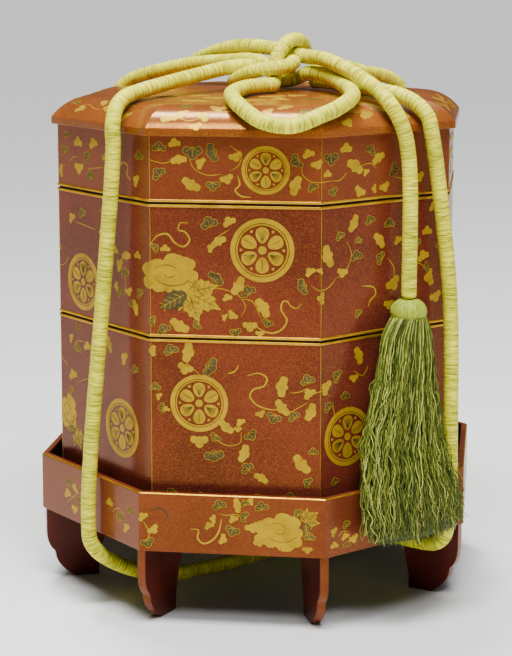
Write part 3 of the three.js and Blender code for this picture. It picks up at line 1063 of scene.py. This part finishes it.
def add_peony(gold, dark, at, width, height):
    """A bloom with three curls and a row of short dashes."""
    gold.patch([(x * width / 2, y * height / 2) for x, y in BLOOM], at)
    for share, shift, bend in ((0.62, 0.05, 1), (0.40, -0.06, -1), (0.2, 0.0, 1)):
        curl = [
            (width * (shift + share / 2 * math.cos(a)), height * (0.05 + share / 2 * math.sin(a)))
            for a in (math.radians(200 + 150 * i / 14) * bend for i in range(15))
        ]
        dark.strip(curl, 0.5, at, taper=True, extra=0.14)
    dash = [(-width * 0.05, 0), (width * 0.05, 0.6)]
    for heading in range(205, 342, 34):
        dark.strip(dash, 0.8, ahead(at, width * 0.33, heading), heading, taper=True, extra=0.14)


def add_leaf_veins(inlay, size, at, heading, midrib, starts, way, width, extra):
    """A midrib and pairs of side veins on a toothed leaf; midrib, starts and way are for a size of 1."""
    inlay.strip([(size * x, 0) for x in midrib], 0.5, at, heading, extra=extra)
    for start in starts:
        for side in (1, -1):
            vein = [(start, 0), (start + way[0], side * way[1])]
            inlay.strip(scaled(vein, size), width, at, heading, extra=extra)


def add_peony_leaves(gold, dark, at, size, heading):
    """A spray of toothed leaves, and a dark one with gold veins."""
    for turn, share in ((0, 1.0), (42, 0.86), (-44, 0.9), (86, 0.5), (-90, 0.6)):
        length = size * share
        toward = heading + turn
        middle = ahead(at, length * 0.45, toward)
        gold.patch(scaled(TOOTHED_LEAF, length), middle, toward)
        add_leaf_veins(
            dark, length, middle, toward, (-0.3, 0.36), (-0.16, 0.02, 0.18), (0.12, 0.17), 0.35, 0.14,
        )
    away = heading - 122
    back = ahead(at, size * 0.5, away)
    dark.patch(scaled(TOOTHED_LEAF, size * 0.85), back, away, extra=0.1)
    starts = [0.16 * k - 0.25 for k in range(4)]
    add_leaf_veins(gold, size, back, away, (-0.35, 0.4), starts, (0.13, 0.15), 0.4, 0.2)


# What is drawn on the three faces that show, per piece. Leaves are (across, up, size, heading); the
# first letter of a kind is g for gold or d for dark, and the second f for a fan leaf or c for a curled one.

FRONT_FACE = {
    "lid": {
        "roundels": [(28, 415, 21.5)],
        "gf": [
            (-53, 437, 11, 10), (1, 428, 12, 200), (-29, 420, 11, 60), (-7, 408, 12, 200),
            (66, 429, 11, 20), (73, 422, 11, 200),
        ],
        "gc": [(-49, 421, 14, 100), (-37, 404, 17, 240), (57, 401, 17, 160)],
        "df": [
            (-67, 433, 12, 0), (-37, 432, 17, 180), (-67, 410, 13, 40), (-19, 402, 12, 180),
            (56, 424, 13, 120), (70, 400, 10, 30),
        ],
        "dc": [(-17, 431, 16, 200)],
        "stems": [
            [(-40, 425), (-36, 416), (-24, 410), (-11, 411)], [(-76, 423), (-63, 420), (-54, 423)],
            [(-4, 437), (6, 428), (4, 419), (-4, 414)],
            [(61, 422), (60, 413), (67, 406), (78, 405), (92, 406)],
        ],
        "tendrils": [[(3, 410), (5, 402), (1, 397), (6, 392), (15, 391)]],
    },
    "upper": {
        "roundels": [(25, 344, 28.5)],
        "peonies": [(-58, 320, 56, 37)],
        "peony_leaves": [(-41, 305, 33, -28)],
        "gf": [
            (-62, 343, 9, 0), (-4, 368, 12, 30), (-6, 300, 9, 20), (-1, 286, 10, 140), (-8, 283, 7, 60),
            (14, 277, 13, 180), (23, 270, 8, 180), (68, 325, 10, 40), (76, 326, 7, 330), (-20, 345, 9, 60),
        ],
        "gc": [(-13, 349, 14, 120), (1, 313, 17, 330), (23, 291, 18, 30), (-48, 277, 18, 240)],
        "df": [
            (-22, 366, 15, 20), (13, 306, 13, 30), (1, 271, 10, 190), (-63, 270, 12, 30), (-73, 278, 9, 80),
            (30, 280, 10, 160), (-33, 276, 9, 120), (-72, 344, 9, 300),
        ],
        "dc": [(-18, 316, 15, 50), (63, 313, 14, 200)],
        "stems": [
            [(-26, 308), (-14, 309), (-5, 307), (4, 303), (10, 293), (6, 284)],
            [(68, 314), (76, 309), (86, 311), (94, 318)], [(-4, 362), (-12, 357), (-19, 351)],
            [(6, 300), (16, 298), (24, 283)],
        ],
        "tendrils": [
            [
                (-76, 347), (-69, 355), (-60, 357), (-53, 349), (-45, 346), (-40, 352), (-44, 359),
                (-50, 361), (-48, 367), (-41, 367),
            ],
            [
                (16, 279), (25, 272), (35, 270), (43, 274), (47, 282), (42, 291), (43, 298), (47, 299),
                (51, 294), (56, 293), (60, 297),
            ],
        ],
    },
    "lower": {
        "roundels": [(-32, 204, 26.2)],
        "gf": [
            (-44, 237, 14, 160), (-73, 251, 10, 90), (-62, 197, 7, 0), (-68, 209, 7, 60),
            (-32, 171, 16, 180), (6, 187, 9, 40), (68, 215, 12, 40), (23, 197, 9, 200), (3, 182, 7, 180),
        ],
        "gc": [
            (-45, 251, 18, 350), (-6, 185, 15, 230), (6, 160, 16, 340), (46, 221, 18, 170),
            (45, 204, 16, 220), (66, 200, 16, 340), (63, 153, 19, 220), (23, 135, 13, 60),
        ],
        "df": [
            (-57, 251, 13, 20), (-72, 217, 10, 0), (-65, 199, 9, 100), (-17, 174, 10, 150),
            (14, 177, 12, 220), (66, 227, 13, 20), (36, 194, 13, 160), (54, 194, 11, 40), (71, 162, 9, 0),
            (12, 145, 12, 40), (67, 134, 10, 60), (-58, 118, 13, 10), (-44, 112, 13, 70),
            (-30, 116, 12, 20), (22, 116, 13, 30), (36, 112, 12, 80), (50, 118, 13, 0),
        ],
        "dc": [(-24, 239, 17, 330), (-19, 159, 17, 280)],
        "stems": [
            [(-19, 172), (-6, 166), (5, 169), (6, 179)], [(38, 200), (48, 198), (58, 203), (66, 208)],
            [(-46, 243), (-38, 236), (-32, 231)], [(66, 221), (58, 217), (50, 216)],
            [(70, 216), (80, 218), (88, 212)], [(-66, 110), (-56, 111), (-44, 119), (-30, 110), (-20, 114)],
            [(12, 112), (24, 109), (36, 119), (52, 111), (62, 114)],
        ],
        "tendrils": [
            [
                (12, 231), (22, 233), (29, 229), (27, 222), (17, 218), (14, 212), (19, 205), (28, 201),
                (40, 200),
            ],
            [(-6, 232), (0, 234), (4, 240)],
        ],
    },
    "rim": {
        "peonies": [(43, 93, 46, 34)],
        "peony_leaves": [(66, 104, 15, 40)],
        "gf": [
            (-80, 102, 10, 40), (-72, 92, 11, 220), (18, 121, 8, 90), (-16, 103, 8, 90), (2, 103, 9, 30),
            (-9, 85, 10, 250), (18, 98, 13, 200), (68, 79, 9, 180), (24, 84, 10, 120), (-20, 96, 9, 30),
        ],
        "gc": [(3, 116, 13, 10)],
        "df": [
            (-77, 80, 12, 200), (-11, 115, 12, 20), (12, 106, 10, 60), (1, 94, 13, 160), (27, 115, 12, 10),
            (60, 111, 9, 40), (70, 89, 10, 0), (12, 118, 8, 20),
        ],
        "stems": [[(-12, 108), (-4, 107), (4, 108), (14, 101)], [(-80, 98), (-75, 88), (-77, 80)]],
        "tendrils": [[(-37, 93), (-30, 92), (-31, 85), (-26, 80), (-18, 83), (-12, 91), (-9, 104)]],
        "dark_tendrils": [[(-74, 108), (-67, 111), (-61, 109), (-58, 103), (-58, 97)]],
    },
    "roof": {
        "gf": [
            (-58, 11, 15, 10), (-46, 17, 13, 60), (-30, 14, 15, 320), (-34, 4, 11, 200), (-8, 30, 14, 30),
            (30, 22, 13, 80), (54, 14, 12, 20), (10, 70, 26, 40), (-28, 92, 24, 200), (34, 88, 22, 120),
        ],
        "gc": [(-20, 26, 14, 40), (44, 30, 14, 120), (-44, 60, 24, 80), (20, 112, 26, 300)],
        "df": [(-46, 30, 12, 10), (8, 18, 11, 200), (62, 24, 11, 40), (-6, 84, 20, 10)],
        "stems": [
            [(-64, 6), (-52, 12), (-40, 9), (-30, 12)],
            [(-34, 18), (-22, 22), (-6, 22), (10, 24), (28, 18)],
        ],
    },
}
RIGHT_FACE = {
    "lid": {
        "gf": [
            (-48, 432, 13, 0), (-69, 411, 9, 0), (-24, 410, 8, 40), (-3, 397, 12, 200), (-31, 395, 13, 150),
            (-14, 395, 8, 90), (30, 427, 12, 60), (39, 403, 12, 200), (62, 418, 13, 20),
        ],
        "gc": [(-9, 420, 15, 120), (-39, 414, 19, 60)],
        "df": [
            (-65, 427, 16, 180), (-20, 429, 12, 330), (7, 411, 13, 250), (-63, 397, 10, 200),
            (52, 430, 11, 0), (58, 399, 11, 60),
        ],
        "stems": [
            [(-62, 405), (-54, 406), (-47, 412)], [(-30, 417), (-20, 418), (-12, 413)],
            [(8, 404), (22, 402), (34, 408)],
        ],
    },
    "upper": {
        "gf": [
            (-51, 324, 12, 170), (8, 308, 17, 210), (15, 345, 10, 30), (4, 289, 12, 180), (46, 327, 14, 20),
            (55, 308, 16, 100), (61, 290, 14, 200), (-74, 302, 11, 90), (50, 350, 12, 0), (58, 372, 11, 20),
        ],
        "gc": [(-65, 340, 20, 200), (-41, 367, 16, 330), (-10, 346, 16, 40)],
        "df": [
            (-35, 335, 13, 10), (-6, 331, 12, 60), (-19, 366, 11, 20), (4, 361, 12, 0), (-54, 355, 10, 30),
            (-33, 349, 8, 0), (51, 318, 10, 100), (38, 340, 10, 40), (66, 336, 10, 0), (-32, 283, 9, 40),
        ],
        "stems": [
            [(-58, 318), (-46, 326), (-41, 338), (-46, 350)], [(2, 331), (10, 320), (9, 310)],
            [(28, 320), (40, 322), (52, 314)],
        ],
        "tendrils": [[(-28, 308), (-20, 307), (-14, 305), (-12, 299), (-18, 294), (-21, 288)]],
    },
    "lower": {
        "roundels": [(-44, 172, 27)],
        "gf": [
            (-37, 226, 10, 180), (-68, 220, 14, 60), (30, 240, 13, 20), (60, 182, 12, 60),
            (10, 150, 12, 200), (46, 132, 12, 10),
        ],
        "gc": [(-34, 244, 16, 20), (40, 204, 16, 140)],
        "df": [
            (-56, 229, 12, 60), (-47, 209, 10, 0), (-66, 202, 11, 40), (14, 216, 12, 10), (56, 226, 12, 60),
            (30, 160, 12, 200), (-58, 132, 9, 20),
        ],
        "stems": [
            [(-62, 206), (-60, 192), (-66, 184)], [(-38, 232), (-26, 226), (-20, 234)],
            [(20, 226), (32, 220), (40, 212)],
        ],
        "tendrils": [[(8, 190), (16, 184), (26, 186), (30, 178), (24, 172)]],
    },
    "rim": {
        "gf": [
            (-74, 93, 9, 60), (-61, 86, 9, 20), (-52, 84, 11, 200), (-74, 80, 9, 0), (-22, 102, 11, 40),
            (18, 94, 12, 100), (44, 108, 11, 0), (70, 88, 12, 30),
        ],
        "gc": [(0, 108, 14, 60), (34, 84, 14, 200)],
        "df": [(-60, 97, 9, 30), (-60, 78, 8, 0), (-34, 88, 11, 60), (6, 88, 11, 0), (60, 104, 11, 40)],
        "stems": [
            [(-70, 88), (-64, 92), (-56, 90)], [(-30, 94), (-16, 98), (-4, 100), (12, 98)],
            [(24, 98), (36, 100), (50, 98)],
        ],
    },
    "roof": {
        "gf": [
            (-48, 8, 13, 200), (-30, 24, 14, 40), (24, 14, 14, 100), (48, 24, 13, 0), (0, 66, 24, 60),
            (-24, 110, 22, 10),
        ],
        "gc": [(-20, 12, 16, 110), (2, 26, 15, 200), (30, 84, 24, 60)],
        "df": [(-56, 22, 11, 10), (12, 30, 11, 60), (58, 10, 11, 30), (-30, 78, 20, 100)],
        "stems": [[(-52, 14), (-40, 20), (-28, 18), (-14, 22), (2, 18)]],
        "tendrils": [[(-12, 20), (-6, 28), (-16, 34), (-24, 28), (-20, 20)]],
    },
}
LEFT_FACE = {
    "lid": {
        "gf": [
            (-40, 428, 14, 0), (-13, 429, 14, 20), (-39, 407, 15, 180), (-70, 400, 12, 90), (7, 418, 11, 0),
            (58, 402, 12, 60),
        ],
        "gc": [(24, 426, 14, 80)],
        "df": [
            (-64, 419, 12, 30), (-23, 417, 12, 60), (-19, 399, 13, 10), (62, 424, 12, 0), (-60, 434, 9, 0),
        ],
        "stems": [[(-58, 408), (-50, 414), (-40, 416)], [(-24, 406), (-8, 408), (4, 410)]],
        "tendrils": [[(30, 412), (36, 417), (44, 414), (42, 407), (48, 402)]],
    },
    "upper": {
        "roundels": [(-34, 298, 27)],
        "gf": [
            (22, 334, 10, 0), (30, 322, 13, 60), (43, 301, 11, 200), (58, 334, 10, 0), (24, 302, 9, 100),
            (-52, 356, 12, 40), (0, 350, 12, 200),
        ],
        "gc": [(40, 330, 14, 100), (52, 286, 14, 20)],
        "df": [
            (38, 315, 12, 20), (29, 297, 11, 60), (48, 288, 10, 0), (62, 300, 11, 40), (-34, 362, 12, 20),
            (16, 362, 11, 0),
        ],
        "stems": [[(24, 328), (34, 318), (38, 306), (34, 294)], [(-46, 354), (-30, 352), (-12, 350)]],
        "tendrils": [[(-4, 368), (4, 372), (12, 368), (10, 360), (18, 354)]],
    },
    "lower": {
        "roundels": [(30, 170, 27.5)],
        "peonies": [(-64, 166, 32, 36)],
        "peony_leaves": [(-50, 150, 18, -60)],
        "gf": [
            (-54, 204, 14, 20), (-56, 240, 10, 60), (-28, 236, 12, 10), (36, 236, 13, 60),
            (-6, 212, 11, 200),
        ],
        "gc": [(12, 246, 15, 200)],
        "df": [
            (-44, 252, 10, 30), (-45, 231, 11, 0), (-58, 188, 10, 40), (-20, 216, 11, 0), (52, 228, 11, 20),
            (-14, 150, 11, 100),
        ],
        "stems": [[(-54, 232), (-44, 240), (-34, 240)], [(-48, 198), (-34, 204), (-20, 208)]],
    },
    "rim": {
        "gf": [
            (-37, 94, 12, 20), (-25, 84, 11, 180), (36, 103, 11, 0), (64, 86, 11, 40), (10, 100, 10, 60),
        ],
        "gc": [(-26, 102, 12, 60)],
        "df": [(-34, 106, 12, 0), (-16, 92, 11, 60), (53, 93, 12, 20), (70, 104, 10, 0)],
        "stems": [[(-40, 86), (-30, 92), (-18, 100), (-6, 98)], [(40, 96), (50, 102), (62, 98)]],
    },
    "roof": {
        "gf": [
            (-40, 12, 13, 20), (0, 20, 14, 200), (40, 10, 13, 60), (-20, 70, 24, 20), (26, 104, 22, 200),
        ],
        "gc": [(-18, 24, 14, 60), (24, 26, 14, 300)],
        "df": [(-58, 20, 11, 0), (14, 10, 11, 60), (12, 76, 20, 30)],
        "stems": [[(-48, 16), (-34, 20), (-22, 16), (-6, 14)], [(6, 26), (18, 20), (34, 18)]],
    },
}
# The faces round the box, numbered from the front one: hidden ones repeat what the others show
FACES = dict(enumerate(
    (RIGHT_FACE, FRONT_FACE, LEFT_FACE, FRONT_FACE, RIGHT_FACE, LEFT_FACE, FRONT_FACE, LEFT_FACE), -3,
))


def draw_face(gold, dark, drawn, start):
    """One face's share of a picture; start is where the middle of the face is."""
    drawing = {"roundels": add_roundel, "peonies": add_peony, "peony_leaves": add_peony_leaves}
    for kind, add in drawing.items():
        for across, up, *sizes in drawn.get(kind, ()):
            add(gold, dark, (across + start, up), *sizes)
    for kind in ("gf", "gc", "df", "dc"):
        outline, veins = (FAN_LEAF, FAN_VEINS) if kind[1] == "f" else (CURLED_LEAF, CURLED_VEINS)
        for across, up, size, heading in drawn.get(kind, ()):
            at = (across + start, up)
            leaf = scaled(outline, size)
            if kind[0] == "g":
                gold.patch(leaf, at, heading)
                continue
            dark.patch(leaf, at, heading)
            gold.strip(leaf, 0.4, at, heading, closed=True, extra=0.12)
            for vein in veins:
                gold.strip(scaled(vein, size), 0.35, at, heading, extra=0.14)
    lines = (("stems", gold, 0.75), ("tendrils", gold, 1.5), ("dark_tendrils", dark, 1.5))
    for kind, inlay, width in lines:
        for path in drawn.get(kind, ()):
            points = [(across + start, up) for across, up in path]
            inlay.strip(flowing(points), width, taper=True, extra=-0.05)


def add_pictures():
    zones = (
        ("lid", "lid", BODY_APOTHEM, UPPER_SEAM + SEAM_BAND, EAVE_UNDERSIDE),
        ("upper", "upper_tier", BODY_APOTHEM, LOWER_SEAM + SEAM_BAND, UPPER_SEAM - SEAM_BAND),
        ("lower", "lower_tier", BODY_APOTHEM, LOWER_BOTTOM, LOWER_SEAM - SEAM_BAND),
        ("rim", "stand_tray", STAND_APOTHEM, STAND_UNDERSIDE, RIM_TOP - RIM_EDGE),
        ("roof", "lid_roof", None, None, None),
    )
    for zone, name, apothem, low, high in zones:
        on_roof = zone == "roof"
        pitch = ROOF_BAND if on_roof else side_length(apothem)
        gold, dark = Inlay(), Inlay()
        for face, drawn in FACES.items():
            draw_face(gold, dark, drawn[zone], face * pitch)
            if zone not in ("rim", "roof"):  # a thin line beside each corner
                # The gold line beside each corner is a painted highlight of the corner's edge.
                edge = (face - 0.5) * pitch + 0.9
                gold.strip([(edge, low / MM + 1), (edge, high / MM - 1)], 0.5, extra=-0.08)
        for inlay in (gold, dark):
            if on_roof:
                inlay.cut(1, [*range(2, 43, 2), 60, 80, 100, 120])
            else:
                inlay.cut(0, [(face + 0.5) * pitch for face in range(-5, 6)])
                inlay.cut(1, [low / MM + 0.2], keep=1)
                inlay.cut(1, [high / MM - 0.2], keep=-1)
        surface = roof_surface if on_roof else wall_surface(apothem)
        gold.lay(name + "_gold_picture", surface, GOLD, "maki_e_gold")
        dark.lay(name + "_dark_picture", surface, GREY, "maki_e_grey")


# Stage

def add_stage():
    bpy.ops.mesh.primitive_circle_add(vertices=96, radius=30, fill_type="NGON", location=(0, 0, -0.0002))
    floor = bpy.context.object
    floor.name = "floor"
    floor.data.materials.append(new_material("floor", (0.82, 0.82, 0.81), 0.75)[0])


def area_light(name, place, target, width, height, power, colour=(1, 1, 1)):
    data = bpy.data.lights.new(name, "AREA")
    data.shape = "RECTANGLE"
    data.size = width
    data.size_y = height
    data.energy = power
    data.color = colour
    light = link_object(name, data)
    light.location = place
    light.rotation_euler = (Vector(target) - Vector(place)).to_track_quat("-Z", "Y").to_euler()


def add_lights():
    area_light("overhead", (0.08, -0.72, 2.2), (0, -0.1, 0.3), 1.2, 0.5, 84)
    area_light("front_high", (0.7, -1.6, 2.4), (0, 0, 0.32), 0.9, 0.6, 32)
    area_light("left_card", (-1.5, 0.78, 0.70), (0, 0.2, 0.3), 1.25, 1.1, 0.7, (1.0, 0.80, 0.55))
    area_light("back_fill", (0.8, 2.4, 2.4), (0, 0, 0.25), 1.8, 1.0, 6)
    data = bpy.data.lights.new("ceiling", "SUN")
    data.energy = 3.4
    data.angle = math.radians(14)
    ceiling = link_object("ceiling", data)
    ceiling.rotation_euler = Vector((-0.18, 0.30, 1)).to_track_quat("Z", "Y").to_euler()
    world = bpy.data.worlds.new("studio")
    world.use_nodes = True
    background = world.node_tree.nodes["Background"]
    background.inputs["Color"].default_value = (0.82, 0.82, 0.80, 1)
    background.inputs["Strength"].default_value = 0.08
    bpy.context.scene.world = world


add_camera()
add_cords(add_tassels())
add_tiers()
add_lid()
add_stand()
add_legs()
add_pictures()
add_stage()
add_lights()
